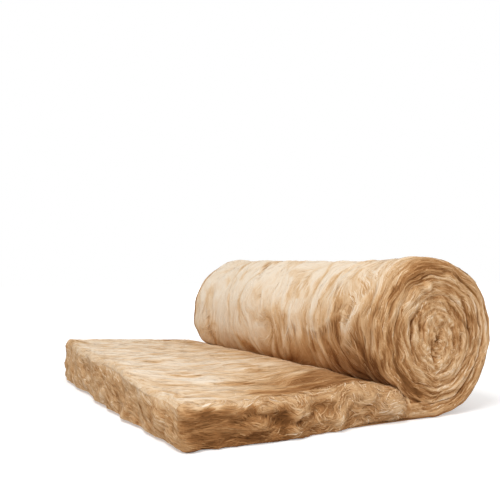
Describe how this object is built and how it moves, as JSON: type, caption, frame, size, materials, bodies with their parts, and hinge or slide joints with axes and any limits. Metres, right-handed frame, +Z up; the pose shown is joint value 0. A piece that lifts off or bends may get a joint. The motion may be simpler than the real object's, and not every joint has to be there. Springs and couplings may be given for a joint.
{
  "type": "insulation roll",
  "caption": "Glass-wool insulation blanket wound into a soft cylindrical roll, with a straight tail unrolled flat on the floor beside it.",
  "frame": {"origin": "on the floor, under the middle of the whole part", "axes": "+X along the blanket from its cut end to the roll, +Y along the roll's axis, +Z up"},
  "size_m": [0.9449, 1.14, 0.4202],
  "materials": {
    "glass_wool": "soft matt fibrous wool, cream to tan with brown streaks that follow the fibres"
  },
  "bodies": {
    "root": {"wool_blanket": "glass_wool"}
  },
  "joints": []
}
